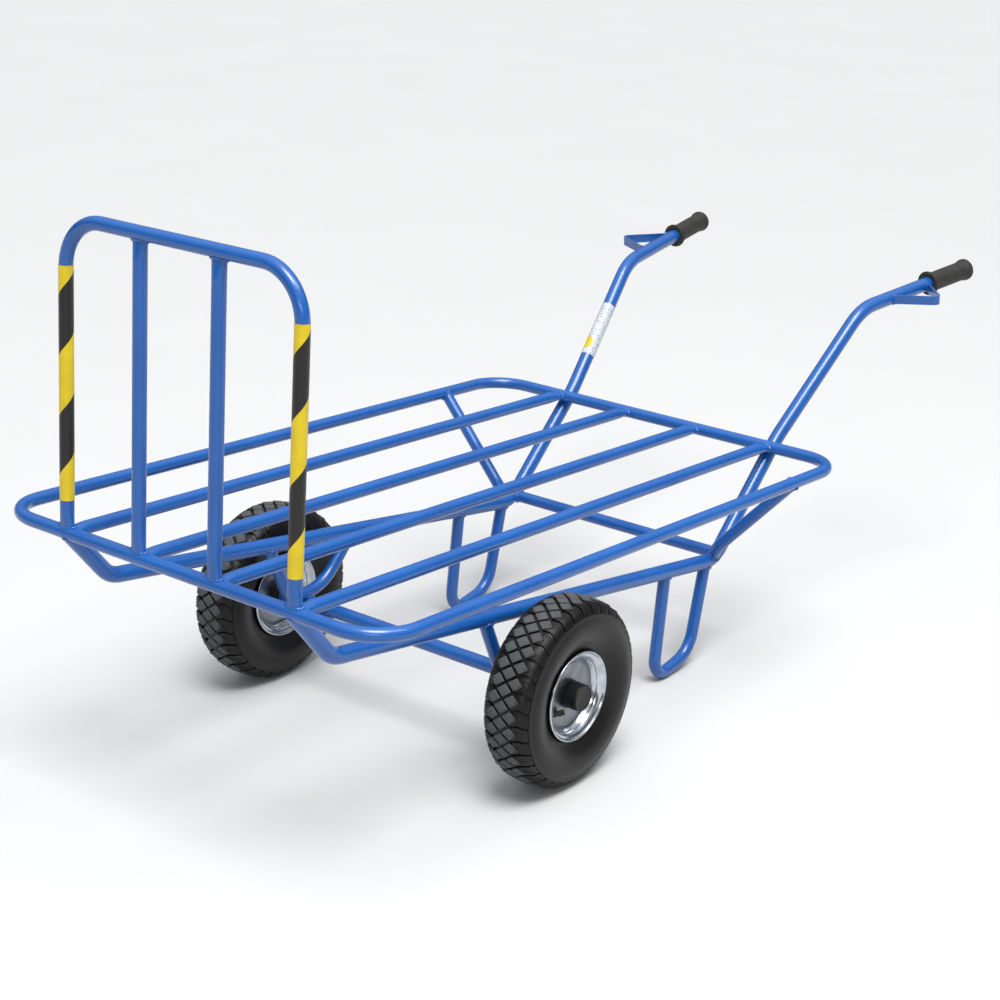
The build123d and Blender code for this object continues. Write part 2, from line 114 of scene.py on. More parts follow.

# Handles, in the deck's frame
HANDLE_BEND = (222.5, 1245.876, 189.0)
HANDLE_WAY = (0.131184, 0.983181, 0.127065)
HANDLE_LENGTH = 278.0
GUARD_FRONT = 66.0
GUARD_TIP = 112.0
GUARD_BACK = 168.0
GUARD_REACH = 70.0
GRIP_LENGTH = 108.0
GRIP_OVERHANG = 4.0

# Tape and label
TAPE_TOP = 341.0  # above the deck
TAPE_BAR = 76.0  # height of one bar up the post
TAPE_SLANT = 1.3  # how steeply the bars climb round the post
TAPE_SHIFT = 31.2  # of the bars up the post
LABEL_RULE = 5.0  # spacing of the label's printed rules
LABEL_SPACE = 3.0  # white part of each spacing
PATCH_ALONG = -30.0  # of the label's round patch, up the riser from the label's middle
PATCH_OUT = (-0.431, -0.649, 0.628)  # from the riser's axis towards the patch
PATCH_RADIUS = 13.0

# Camera, in the deck's frame: millimetres, then degrees
CAMERA_PLACE = (1743.1, -1667.8, 867.8)
CAMERA_TURN = 37.12
CAMERA_DIP = 17.57
CAMERA_ROLL = 3.40
LENS = 75.95


# ---------------------------------------------------------------- materials


def linear(colour):
    """An sRGB hex colour as linear red, green, blue and alpha."""
    channels = []
    for start in (1, 3, 5):
        value = int(colour[start:start + 2], 16) / 255
        low = value / 12.92
        high = ((value + 0.055) / 1.055) ** 2.4
        channels.append(low if value <= 0.04045 else high)
    return (*channels, 1.0)


def per_metre(size):
    """The scale that gives a texture a pattern of this size in millimetres."""
    return 1 / (size * MM)


def add_node(tree, kind, inputs=None, **settings):
    """Adds a node with its settings. An input is a plain value or another node's socket."""
    node = tree.nodes.new(kind)
    for name, value in settings.items():
        setattr(node, name, value)
    for name, value in (inputs or {}).items():
        if isinstance(value, bpy.types.NodeSocket):
            tree.links.new(value, node.inputs[name])
        else:
            node.inputs[name].default_value = value
    return node


def new_material(name):
    """An empty material: its node tree, its shader and the Object coordinates."""
    material = bpy.data.materials.new(name)
    material.use_nodes = True
    tree = material.node_tree
    tree.nodes.clear()
    output = add_node(tree, "ShaderNodeOutputMaterial")
    shader = add_node(tree, "ShaderNodeBsdfPrincipled")
    tree.links.new(shader.outputs["BSDF"], output.inputs["Surface"])
    place = add_node(tree, "ShaderNodeTexCoord").outputs["Object"]
    return material, tree, shader, place


def grain(tree, place, size, detail=3.0, roughness=0.5):
    """Cloudy noise with features of this size in millimetres."""
    inputs = {
        "Vector": place,
        "Scale": per_metre(size),
        "Detail": detail,
        "Roughness": roughness,
    }
    return add_node(tree, "ShaderNodeTexNoise", inputs).outputs["Fac"]


def blend_colours(tree, factor, first, second):
    """Two colours mixed by a factor from 0 to 1."""
    node = add_node(tree, "ShaderNodeMix", {"Factor": factor}, data_type="RGBA")
    for socket, colour in ((node.inputs[6], first), (node.inputs[7], second)):
        if isinstance(colour, bpy.types.NodeSocket):
            tree.links.new(colour, socket)
        else:
            socket.default_value = colour
    return node.outputs[2]


def spread(tree, value, low, high, to_low=0.0, to_high=1.0):
    """Stretches a value's range and clamps it."""
    inputs = {
        "Value": value,
        "From Min": low,
        "From Max": high,
        "To Min": to_low,
        "To Max": to_high,
    }
    return add_node(tree, "ShaderNodeMapRange", inputs, clamp=True).outputs["Result"]


def bump(tree, height, depth, normal=None):
    """Bump of this depth in millimetres."""
    inputs = {"Height": height, "Distance": depth * MM, "Strength": 1.0}
    if normal is not None:
        inputs["Normal"] = normal
    return add_node(tree, "ShaderNodeBump", inputs).outputs["Normal"]


def axis_distance(tree, place, start, way):
    """How far a place lies from a start, along a way, both in the deck's frame."""
    origin = TO_FLOOR @ (Vector(start) * MM)
    turned = TO_FLOOR.to_3x3() @ Vector(way)
    offset = add_node(
        tree, "ShaderNodeVectorMath", {0: place, 1: tuple(origin)}, operation="SUBTRACT"
    ).outputs["Vector"]
    dot = add_node(
        tree, "ShaderNodeVectorMath", {0: offset, 1: tuple(turned)}, operation="DOT_PRODUCT"
    )
    return dot.outputs["Value"]


def make_powder_coat():
    """Baked powder coat on steel tube: an even gloss blue with a slight orange peel."""
    material, tree, shader, place = new_material("powder_coat_blue")
    cloud = grain(tree, place, 90)
    colour = blend_colours(
        tree, spread(tree, cloud, 0.3, 0.7), linear("#084b93"), linear("#0c549e")
    )
    tree.links.new(colour, shader.inputs["Base Color"])
    sheen_patches = spread(tree, grain(tree, place, 25), 0.3, 0.7, 0.26, 0.34)
    tree.links.new(sheen_patches, shader.inputs["Roughness"])
    shader.inputs["IOR"].default_value = 1.5
    shader.inputs["Coat Weight"].default_value = 0.35
    shader.inputs["Coat Roughness"].default_value = 0.12
    peel = grain(tree, place, 7, 1)
    tree.links.new(bump(tree, peel, 0.015), shader.inputs["Normal"])
    return material


def wheel_height(tree, place, side):
    """Distance from the wheel's axle, in metres."""
    centre = (side * WHEEL_CENTRE.x, WHEEL_CENTRE.y, WHEEL_CENTRE.z)
    from_axle = add_node(
        tree,
        "ShaderNodeVectorMath",
        {0: place, 1: centre},
        operation="SUBTRACT",
    ).outputs["Vector"]
    parts = add_node(tree, "ShaderNodeSeparateXYZ", {"Vector": from_axle})
    flat = add_node(
        tree, "ShaderNodeCombineXYZ", {"Y": parts.outputs["Y"], "Z": parts.outputs["Z"]}
    ).outputs["Vector"]
    length = add_node(tree, "ShaderNodeVectorMath", {0: flat}, operation="LENGTH")
    return length.outputs["Value"]


def make_tyre_rubber(side_name):
    """Carbon-black tyre rubber: satin walls, and block tops lighter grey, partly scuffed and
    partly a painted highlight.
    """
    material, tree, shader, place = new_material(f"tyre_rubber_{side_name}")
    radius = wheel_height(tree, place, SIDES[side_name])
    outer = TYRE_RADIUS * MM
    # Painted highlight with scuffing: the block tops turn grey by their distance from the axle,
    # partly for wear and partly for the light they catch.
    scuff_and_highlight_start, scuff_and_highlight_full = SCUFF_AND_HIGHLIGHT_RANGE
    scuff_and_highlight = spread(tree, radius, outer - scuff_and_highlight_start * MM, outer - scuff_and_highlight_full * MM)
    speckle = spread(tree, grain(tree, place, 1.2, 4), 0.35, 0.65, 0.55, 1.0)
    scuff_and_highlight = add_node(
        tree, "ShaderNodeMath", {0: scuff_and_highlight, 1: speckle}, operation="MULTIPLY"
    ).outputs["Value"]
    cloud = spread(tree, grain(tree, place, 40), 0.3, 0.7)
    rubber = blend_colours(tree, cloud, linear("#0a0a0a"), linear("#141211"))
    # Block tops blended to grey: part scuffing, part painted highlight.
    colour = blend_colours(tree, scuff_and_highlight, rubber, linear("#505255"))
    tree.links.new(colour, shader.inputs["Base Color"])
    rough = spread(tree, scuff_and_highlight, 0, 1, 0.36, 0.75)
    tree.links.new(rough, shader.inputs["Roughness"])
    shader.inputs["IOR"].default_value = 1.52
    shader.inputs["Specular IOR Level"].default_value = 0.3
    fine = grain(tree, place, 0.9, 4)
    tree.links.new(bump(tree, fine, 0.05), shader.inputs["Normal"])
    return material


def make_grip_rubber():
    """Soft moulded grip rubber: matt, warm black with a fine pebbled skin."""
    material, tree, shader, place = new_material("grip_rubber")
    cloud = spread(tree, grain(tree, place, 12), 0.3, 0.7)
    colour = blend_colours(tree, cloud, linear("#23211f"), linear("#302d2b"))
    pits = add_node(
        tree, "ShaderNodeTexVoronoi", {"Vector": place, "Scale": per_metre(1.5)}
    ).outputs["Distance"]
    tree.links.new(colour, shader.inputs["Base Color"])
    shader.inputs["Roughness"].default_value = 0.62
    shader.inputs["Specular IOR Level"].default_value = 0.35
    shader.inputs["IOR"].default_value = 1.5
    tree.links.new(bump(tree, pits, 0.12), shader.inputs["Normal"])
    return material


def make_zinc(name, first, second, low, high):
    """Bright zinc plate on pressed steel: mirror-like with faint drawing marks and bloom."""
    material, tree, shader, place = new_material(name)
    bloom = spread(tree, grain(tree, place, 14, 4), 0.35, 0.7)
    colour = blend_colours(tree, bloom, linear(first), linear(second))
    tree.links.new(colour, shader.inputs["Base Color"])
    shader.inputs["Metallic"].default_value = 1.0
    rough = spread(tree, grain(tree, place, 6, 5), 0.3, 0.7, low, high)
    tree.links.new(rough, shader.inputs["Roughness"])
    marks = grain(tree, place, 1.2, 3)
    tree.links.new(bump(tree, marks, 0.012), shader.inputs["Normal"])
    return material


def make_plastic(name, base, other, rough):
    """Moulded black plastic or firm rubber: even, slightly glossy, with a faint texture."""
    material, tree, shader, place = new_material(name)
    cloud = spread(tree, grain(tree, place, 10), 0.3, 0.7)
    colour = blend_colours(tree, cloud, linear(base), linear(other))
    tree.links.new(colour, shader.inputs["Base Color"])
    rough_map = spread(tree, grain(tree, place, 4), 0.3, 0.7, rough - 0.05, rough + 0.07)
    tree.links.new(rough_map, shader.inputs["Roughness"])
    shader.inputs["IOR"].default_value = 1.49
    shader.inputs["Specular IOR Level"].default_value = 0.35
    tree.links.new(bump(tree, grain(tree, place, 0.7, 2), 0.03), shader.inputs["Normal"])
    return material


def make_hazard_tape(side_name):
    """Printed vinyl tape: diagonal yellow and black bars wrapped round the post."""
    material, tree, shader, place = new_material(f"hazard_tape_{side_name}")
    post = (SIDES[side_name] * OUTER_SLAT_X, 0, TAPE_TOP)
    across = axis_distance(tree, place, post, (1, 0, 0))
    ahead = axis_distance(tree, place, post, (0, -1, 0))
    up = axis_distance(tree, place, post, (0, 0, 1))
    angle = add_node(
        tree, "ShaderNodeMath", {0: across, 1: ahead}, operation="ARCTAN2"
    ).outputs["Value"]
    along = add_node(
        tree,
        "ShaderNodeMath",
        {0: angle, 1: -TAPE_SLANT * FRAME_RADIUS * MM, 2: up},
        operation="MULTIPLY_ADD",
    ).outputs["Value"]
    bars = add_node(
        tree, "ShaderNodeMath", {0: along, 1: TAPE_SHIFT * MM}, operation="ADD"
    ).outputs["Value"]
    bars = add_node(
        tree, "ShaderNodeMath", {0: bars, 1: 2 * TAPE_BAR * MM}, operation="FLOORED_MODULO"
    ).outputs["Value"]
    edge = 0.3 * MM
    rising = spread(tree, bars, TAPE_BAR * MM - edge, TAPE_BAR * MM + edge)
    scratch = spread(tree, grain(tree, place, 5, 5), 0.66, 0.76, 0, 0.25)
    black = blend_colours(tree, scratch, linear("#110e0b"), linear("#3e362c"))
    cloud = spread(tree, grain(tree, place, 20), 0.3, 0.7)
    yellow = blend_colours(tree, cloud, linear("#d0b808"), linear("#c6ab0b"))
    tree.links.new(blend_colours(tree, rising, yellow, black), shader.inputs["Base Color"])
    shader.inputs["Roughness"].default_value = 0.3
    shader.inputs["IOR"].default_value = 1.5
    tree.links.new(bump(tree, grain(tree, place, 6, 3), 0.08), shader.inputs["Normal"])
    return material


def make_label_vinyl():
    """White vinyl wrap label with plain blue-grey rules and a round yellow patch, under gloss."""
    material, tree, shader, place = new_material("label_vinyl")
    low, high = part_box("label")
    middle = (low + high) / 2
    way = riser_direction()
    inputs = {0: place, 1: tuple(middle)}
    centred = add_node(
        tree, "ShaderNodeVectorMath", inputs, operation="SUBTRACT"
    ).outputs["Vector"]
    along = add_node(
        tree, "ShaderNodeVectorMath", {0: centred, 1: tuple(way)}, operation="DOT_PRODUCT"
    ).outputs["Value"]
    lines = add_node(
        tree, "ShaderNodeMath", {0: along, 1: LABEL_RULE * MM}, operation="FLOORED_MODULO"
    ).outputs["Value"]
    edge = 0.1
    ink = spread(tree, lines, (LABEL_SPACE - edge) * MM, (LABEL_SPACE + edge) * MM)
    gaps = spread(tree, grain(tree, place, 3, 1), 0.5, 0.52)
    ink = add_node(tree, "ShaderNodeMath", {0: ink, 1: gaps}, operation="MULTIPLY")
    ink = spread(tree, ink.outputs["Value"], 0, 1, 0, 0.75)
    colour = blend_colours(tree, ink, linear("#b9bec2"), linear("#3f6391"))
    spot = way * PATCH_ALONG * MM + Vector(PATCH_OUT) * RAIL_RADIUS * MM
    from_spot = add_node(
        tree, "ShaderNodeVectorMath", {0: centred, 1: tuple(spot)}, operation="DISTANCE"
    ).outputs["Value"]
    patch = spread(tree, from_spot, (PATCH_RADIUS - 0.3) * MM, PATCH_RADIUS * MM, 1, 0)
    colour = blend_colours(tree, patch, colour, linear("#c9ae0a"))
    tree.links.new(colour, shader.inputs["Base Color"])
    shader.inputs["Roughness"].default_value = 0.28
    shader.inputs["IOR"].default_value = 1.5
    tree.links.new(bump(tree, grain(tree, place, 8, 2), 0.05), shader.inputs["Normal"])
    return material


def riser_direction():
    """The way that the right riser runs, from its label's two ends."""
    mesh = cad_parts["label"].data
    low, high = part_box("label")
    span = high.z - low.z
    ends = []
    for level in (low.z, high.z):
        near = [v.co for v in mesh.vertices if abs(v.co.z - level) < span * 0.08]
        ends.append(sum(near, Vector()) / len(near))
    return (ends[1] - ends[0]).normalized()


# ---------------------------------------------------------------- mesh helpers


def keep_piece(name, bm, material, body, smooth_angle=40):
    """Makes a finished mesh a piece at the origin that rides on its body."""
    bmesh.ops.remove_doubles(bm, verts=bm.verts, dist=0.005 * MM)
    bmesh.ops.recalc_face_normals(bm, faces=bm.faces)
    mesh = bpy.data.meshes.new(name)
    bm.to_mesh(mesh)
    bm.free()
    mesh.shade_smooth()
    mesh.set_sharp_from_angle(angle=math.radians(smooth_angle))
    mesh.materials.append(material)
    piece = bpy.data.objects.new(name, mesh)
    bpy.context.scene.collection.objects.link(piece)
    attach(piece, body)
    return piece


def spun(outline, steps=96):
    """A turned shape about the X axis from a closed loop of (along, radius) millimetres."""
    bm = bmesh.new()
    corners = [bm.verts.new((x * MM, 0, r * MM)) for x, r in outline]
    edges = [bm.edges.new(pair) for pair in zip(corners, corners[1:])]
    edges.append(bm.edges.new((corners[-1], corners[0])))
    bmesh.ops.spin(
        bm,
        geom=corners + edges,
        cent=(0, 0, 0),
        axis=(1, 0, 0),
        angle=2 * math.pi,
        steps=steps,
        use_merge=True,
        use_duplicate=False,
    )
    bmesh.ops.remove_doubles(bm, verts=bm.verts, dist=0.001 * MM)
    bmesh.ops.recalc_face_normals(bm, faces=bm.faces)
    return bm


def round_edges(bm, width, segments=2, over=25):
    """Rounds every edge that turns by more than this many degrees."""
    limit = math.radians(over)
    edges = [e for e in bm.edges if e.is_manifold and e.calc_face_angle(0) > limit]
    bmesh.ops.bevel(
        bm,
        geom=edges,
        offset=width * MM,
        offset_type="OFFSET",
        segments=segments,
        profile=0.5,
        affect="EDGES",
        material=-1,
        clamp_overlap=True,
    )


def add_block(bm, size, place, turn=0.0, taper=1.0):
    """A six-sided block of (across, round, up) millimetres, with its foot at the place."""
    made = bmesh.ops.create_cube(bm, size=1.0)["verts"]
    bmesh.ops.translate(bm, verts=made, vec=(0, 0, 0.5))
    bmesh.ops.scale(bm, verts=made, vec=Vector(size) * MM)
    top = [v for v in made if v.co.z > size[2] * MM / 2]
    bmesh.ops.scale(bm, verts=top, vec=(taper, taper, 1))
    bmesh.ops.rotate(bm, verts=made, cent=(0, 0, 0), matrix=Matrix.Rotation(turn, 3, "Z"))
    bmesh.ops.translate(bm, verts=made, vec=Vector(place) * MM)


def join_into(target, bm):
    """Adds one mesh to another and frees it."""
    mesh = bpy.data.meshes.new("part")
    bm.to_mesh(mesh)
    bm.free()
    target.from_mesh(mesh)
    bpy.data.meshes.remove(mesh)


def to_wheel(bm, side):
    """Moves a shape made about the left wheel's centre onto its wheel."""
    if side < 0:
        bmesh.ops.scale(bm, verts=bm.verts, vec=(-1, 1, 1))
        bmesh.ops.reverse_faces(bm, faces=bm.faces)
    place = Vector((side * WHEEL_CENTRE.x, WHEEL_CENTRE.y, WHEEL_CENTRE.z))
    bmesh.ops.translate(bm, verts=bm.verts, vec=place)


# ---------------------------------------------------------------- tyre


def crown_point(along, up):
    """Where a point of the flat tread lies on the tyre: (along the axle, radius)."""
    floor = TYRE_RADIUS - TREAD_DEPTH
    turn = min(abs(along), SHOULDER_START) / CROWN_RADIUS
    past = max(abs(along) - SHOULDER_START, 0) / SHOULDER_RADIUS
    if past == 0:
        x = (CROWN_RADIUS + up) * math.sin(turn)
        radius = floor - CROWN_RADIUS + (CROWN_RADIUS + up) * math.cos(turn)
    else:
        hub_x = (CROWN_RADIUS - SHOULDER_RADIUS) * math.sin(turn)
        hub_r = floor - CROWN_RADIUS + (CROWN_RADIUS - SHOULDER_RADIUS) * math.cos(turn)
        x = hub_x + (SHOULDER_RADIUS + up) * math.sin(turn + past)
        radius = hub_r + (SHOULDER_RADIUS + up) * math.cos(turn + past)
    return math.copysign(x, along), radius


def wrap_tread(bm):
    """Bends the flat tread (across, round, up) onto the tyre's crown and shoulders."""
    for vert in bm.verts:
        across, round_way, up = vert.co / MM
        x, radius = crown_point(across, up)
        angle = round_way / TYRE_RADIUS
        vert.co = Vector((x, radius * math.sin(angle), radius * math.cos(angle))) * MM


def make_carcass():
    """The tyre's body: groove floor, ridge at each shoulder, smooth walls and beads."""
    crown = [crown_point(step * TREAD_EDGE / 7, 0) for step in range(1, 8)]
    edge_x, edge_r = crown[-1]
    wall = [
        (edge_x + 0.9, edge_r + 1.0),
        (edge_x + 2.0, edge_r + 0.9),
        (edge_x + 2.8, edge_r - 0.4),
        (edge_x + 2.7, edge_r - 1.7),
        (38.4, 107.0),
        (39.8, 99.5),
        (39.5, 92.0),
        (37.2, 83.5),
        (33.2, 75.6),
        (29.9, 70.4),
        (28.2, 67.6),
        (27.6, 65.6),
        (26.4, 63.4),
        (25.2, 60.6),
        (23.6, 56.0),
        (21.8, 54.0),
    ]
    half = crown + wall
    outline = half + [(-x, r) for x, r in reversed(half)] + [(0, TYRE_RADIUS - TREAD_DEPTH)]
    return spun(outline)


def make_tread():
    """One pitch of blocks, lugs and ribs made flat, bent to the tyre and spun round it."""
    bm = bmesh.new()
    pitch = 2 * math.pi * TYRE_RADIUS / PITCH_COUNT
    diagonal = math.pi / 4
    foot = BLOCK_FOOT
    tall = TREAD_DEPTH - foot
    size = (DIAMOND_SIDE, DIAMOND_SIDE, tall)
    for place in ((0, 0, foot), (pitch / 2, pitch / 2, foot), (-pitch / 2, pitch / 2, foot)):
        add_block(bm, size, place, diagonal, taper=0.94)
    bmesh.ops.scale(bm, verts=bm.verts, vec=(DIAMOND_STRETCH, 1, 1))
    round_edges(bm, 1.2, segments=3, over=60)
    start = pitch / 2 * DIAMOND_STRETCH + LUG_GAP
    width = TREAD_EDGE - start
    middle = start + width / 2
    for side in (1, -1):
        lug_size = (width, pitch - LUG_GROOVE, tall - LUG_DROP)
        join_into(bm, make_lug(lug_size, (side * middle, pitch / 2, foot), start, width))
        for number in range(RIB_COUNT):
            share = (number + 0.5) / RIB_COUNT - 0.5
            along = pitch / 2 + share * (pitch - RIB_MARGIN)
            rib_size = (width - RIB_INSET, RIB_WIDTH, RIB_HEIGHT)
            place = (side * (middle + RIB_SHIFT), along, tall + foot - RIB_FOOT)
            join_into(bm, make_lug(rib_size, place, start, width))
    wrap_tread(bm)
    bmesh.ops.spin(
        bm,
        geom=bm.verts[:] + bm.edges[:] + bm.faces[:],
        cent=(0, 0, 0),
        axis=(1, 0, 0),
        angle=2 * math.pi * (PITCH_COUNT - 1) / PITCH_COUNT,
        steps=PITCH_COUNT - 1,
        use_merge=False,
        use_duplicate=True,
    )
    return bm


def make_lug(size, place, start, width):
    """A lug or rib with the wave of the shoulder grooves, thinner towards the tread's edge."""
    bm = bmesh.new()
    add_block(bm, size, place, taper=0.95)
    long_edges = [e for e in bm.edges if abs(e.verts[0].co.x - e.verts[1].co.x) > 4 * MM]
    bmesh.ops.subdivide_edges(bm, edges=long_edges, cuts=5, use_grid_fill=True)
    round_edges(bm, 0.45, over=60)
    for vert in bm.verts:
        share = (abs(vert.co.x) / MM - start) / width
        vert.co.y += math.sin(math.pi * 1.5 * share) * LUG_WAVE * MM
        if vert.co.z > 0:
            vert.co.z -= LUG_FALL * MM * max(share, 0) ** 2
    return bm


def build_tyres(rubbers):
    """A carcass and a tread for each wheel, in place of the plain tyre."""
    for name, side in SIDES.items():
        for part, bm in (("carcass", make_carcass()), ("tread", make_tread())):
            to_wheel(bm, side)
            piece = keep_piece(
                f"tyre_{part}_{name}", bm, rubbers[name], f"wheel_{name}"
            )
            if part == "carcass":
                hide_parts(f"tyre_{name}")


# ---------------------------------------------------------------- rims and caps


BARREL_OUTLINE = [  # centre plane, bead side, rolled lip, and back down the sloping inside
    (0.0, 49.0),
    (15.0, 49.0),
    (17.2, 50.2),
    (22.0, 52.6),
    (24.2, 54.8),
    (26.0, 59.2),
    (26.8, 61.4),
    (28.6, 62.5),
    (30.6, 62.3),
    (31.5, 61.2),
    (31.4, 60.2),
    (30.0, 59.4),
    (28.4, 58.0),
    (27.2, 55.0),
    (25.2, 52.8),
    (23.2, 51.5),
    (21.8, 51.1),
    (21.2, 50.3),
    (18.0, 48.4),
    (16.0, 47.2),
    (0.0, 47.0),
]
DISC_OUTLINE = [  # hub, flat face, step, edge, and back along the inside
    (17.5, 17.2),
    (17.5, 43.2),
    (17.2, 44.2),
    (16.2, 45.0),
    (16.0, 46.9),
    (14.0, 46.9),
    (14.0, 45.4),
    (15.4, 43.6),
    (15.5, 17.2),
]


def build_rims(bright, satin):
    """Two bright barrel halves and two satin discs for each wheel."""
    for name, side in SIDES.items():
        for half, way in (("outer", 1), ("inner", -1)):
            shells = (("rim", BARREL_OUTLINE, bright), ("disc", DISC_OUTLINE, satin))
            for part, outline, metal in shells:
                bm = spun([(way * x, r) for x, r in outline], steps=128)
                round_edges(bm, 0.3, over=20)
                to_wheel(bm, side)
                piece = keep_piece(
                    f"{part}_{half}_shell_{name}", bm, metal, f"wheel_{name}",
                    30,
                )
                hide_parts(f"{part}_{half}_{name}")


def build_hub_caps(plastic):
    """Push-on cap: drawn sides, a lip round a slightly dished face."""
    for name, side in SIDES.items():
        low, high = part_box(f"hub_cap_{name}")
        radius = (high.z - low.z) / 2 / MM
        start = (min(abs(low.x), abs(high.x)) - WHEEL_CENTRE.x) / MM
        end = (max(abs(low.x), abs(high.x)) - WHEEL_CENTRE.x) / MM
        outline = [
            (start, radius - 1.4),
            (start, radius),
            (end - 3.0, radius - 0.15),
            (end - 0.9, radius - 0.5),
            (end, radius - 1.3),
            (end, radius - 2.2),
            (end - 0.7, radius - 3.2),
            (end - 0.7, 0),
            (end - 1.5, 0),
            (end - 1.5, radius - 1.6),
        ]
        bm = spun(outline, steps=64)
        round_edges(bm, 0.25, over=20)
        to_wheel(bm, side)
        piece = keep_piece(
            f"hub_cap_shell_{name}", bm, plastic, f"wheel_{name}", 35
        )
        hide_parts(f"hub_cap_{name}")


# ---------------------------------------------------------------- grips


def build_grips(rubber):
    """Rubber grip: broad inner flange, plain body, and a flared end with a domed cap."""
    outline = [
        (0.0, 11.2),
        (0.0, 17.0),
        (1.0, 19.0),
        (2.6, 19.8),
        (4.2, 19.4),
        (5.6, 17.6),
        (8.0, 15.7),
        (12.0, 15.3),
        (86.0, 15.3),
        (92.0, 15.7),
        (97.0, 16.9),
        (101.0, 17.8),
        (104.0, 17.6),
        (106.6, 15.6),
        (107.8, 11.0),
        (108.0, 5.0),
        (108.0, 0.0),
        (105.0, 0.0),
        (104.2, 11.2),
    ]
    for name, side in SIDES.items():
        bm = spun(outline, steps=64)
        round_edges(bm, 0.5, over=30)
        start = HANDLE_LENGTH + GRIP_OVERHANG - GRIP_LENGTH
        origin, way = handle_place(start, side)
        turn = way.to_track_quat("X", "Z").to_matrix().to_4x4()
        bmesh.ops.transform(
            bm, matrix=TO_FLOOR @ Matrix.Translation(origin * MM) @ turn, verts=bm.verts
        )
        piece = keep_piece(f"grip_moulding_{name}", bm, rubber, "frame", 40)
        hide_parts(f"grip_{name}")


def handle_place(along, side):
    """A place on the handle's axis and the way it runs, in the deck's frame."""
    way = Vector(HANDLE_WAY)
    place = Vector(HANDLE_BEND) + way * along
    return Vector((side * place.x, place.y, place.z)), Vector((side * way.x, way.y, way.z))


# ---------------------------------------------------------------- weld beads


def make_bead(foot, branch, main, main_radius, half_along, half_across):
    """A rippled bead round the foot of a branch tube, following the main tube's curve."""
    steps = 48
    ring_radius = 20  # of the plain ring that is then fitted to the joint
    rise = Vector(branch).normalized()
    run = Vector(main).normalized()
    level = rise.dot(run)
    along = (run - rise * level).normalized()
    across = rise.cross(along)
    bm = bmesh.new()
    ring = bmesh.ops.create_circle(bm, segments=8, radius=BEAD_RADIUS)["verts"]
    bmesh.ops.rotate(bm, verts=ring, matrix=Matrix.Rotation(math.pi / 2, 3, "X"))
    bmesh.ops.translate(bm, verts=ring, vec=(ring_radius, 0, 0))
    bmesh.ops.spin(
        bm,
        geom=bm.verts[:] + bm.edges[:],
        axis=(0, 0, 1),
        angle=2 * math.pi,
        steps=steps,
        use_merge=True,
        use_duplicate=False,
    )
    bmesh.ops.remove_doubles(bm, verts=bm.verts, dist=0.01)
    for vert in bm.verts:
        turn = math.atan2(vert.co.y, vert.co.x)
        outward = math.hypot(vert.co.x, vert.co.y) - ring_radius
        ripple = 1 + 0.13 * math.sin(turn * 12) + 0.10 * math.sin(turn * 5 + foot[0])
        side = along * math.cos(turn) + across * math.sin(turn)
        offset = along * math.cos(turn) * half_along + across * math.sin(turn) * half_across
        off_axis = offset - run * offset.dot(run)
        up = rise - run * level
        slant = off_axis.dot(up)
        spare = slant ** 2 - up.length_squared * (off_axis.length_squared - main_radius ** 2)
        lift = (math.sqrt(max(spare, 0)) - slant) / up.length_squared
        place = Vector(foot) + offset + rise * lift
        vert.co = (place + (side * outward + rise * vert.co.z) * ripple) * MM
    return bm


def rail_level(y):
    """Height of the side rail's lower run in the deck's frame."""
    return RAIL_START[1] - RAIL_FALL * (y - RAIL_START[0])


def weld_places():
    """Each joint's group, foot, branch and main directions, main radius and bead halves."""
    crimp = (CRIMP_HALF_WIDTH, CRIMP_HALF_DEPTH)
    tube = (FRAME_RADIUS, FRAME_RADIUS)
    across = (1, 0, 0)
    rail = (0, 1, -RAIL_FALL)
    places = []
    for x in (OUTER_SLAT_X, INNER_SLAT_X):
        places.append(("headboard", (x, 0, 0), (0, 0, 1), across, FRAME_RADIUS, crimp))
        places.append(("deck", (x, 0, 0), (0, 1, 0), across, FRAME_RADIUS, crimp))
        places.append(("deck", (x, DECK_LENGTH, 0), (0, -1, 0), across, FRAME_RADIUS, crimp))
    top = (INNER_SLAT_X, 0, HEADBOARD_HEIGHT)
    places.append(("headboard", top, (0, 0, -1), across, FRAME_RADIUS, crimp))
    for y, branch in LEG_TOPS + BRACKET_ENDS:
        foot = (RAIL_X, y, rail_level(y))
        places.append(("undercarriage", foot, branch, rail, RAIL_RADIUS, tube))
    seat = (RAIL_X, *AXLE_PLACE)
    places.append(("undercarriage", seat, (0, 0, 1), across, AXLE_RADIUS, BRACKET_BEAD))
    level = rail_level(BRACE_TOP[1])
    foot = (RAIL_X, BRACE_FOOT, level)
    places.append(("undercarriage", foot, BRACE_BEND, rail, RAIL_RADIUS, tube))
    down = (RAIL_X + BRACE_BEND[0] - BRACE_TOP[0], 0, level + BRACE_BEND[2])
    places.append(("undercarriage", (*BRACE_TOP, 0), down, (0, 1, 0), FRAME_RADIUS, tube))
    along, lift = CROSS_TUBE
    cross = (RAIL_X, along, rail_level(along) + lift)
    places.append(("undercarriage", cross, (-1, 0, 0), (0, 1, 0.2), RAIL_RADIUS, tube))
    down = (0, *RAIL_START)
    places.append(("undercarriage", (RAIL_X, 0, 0), down, across, FRAME_RADIUS, RAIL_BEAD))
    way = Vector(HANDLE_WAY)
    out = Vector((0, 0, 1)).cross(way).normalized() * -1
    for along in (GUARD_FRONT, GUARD_BACK):
        foot = Vector(HANDLE_BEND) + way * along
        branch = way * (GUARD_TIP - along) + out * GUARD_REACH
        places.append(("handle", foot, branch, way, RAIL_RADIUS, STRAP_BEAD))
    return places


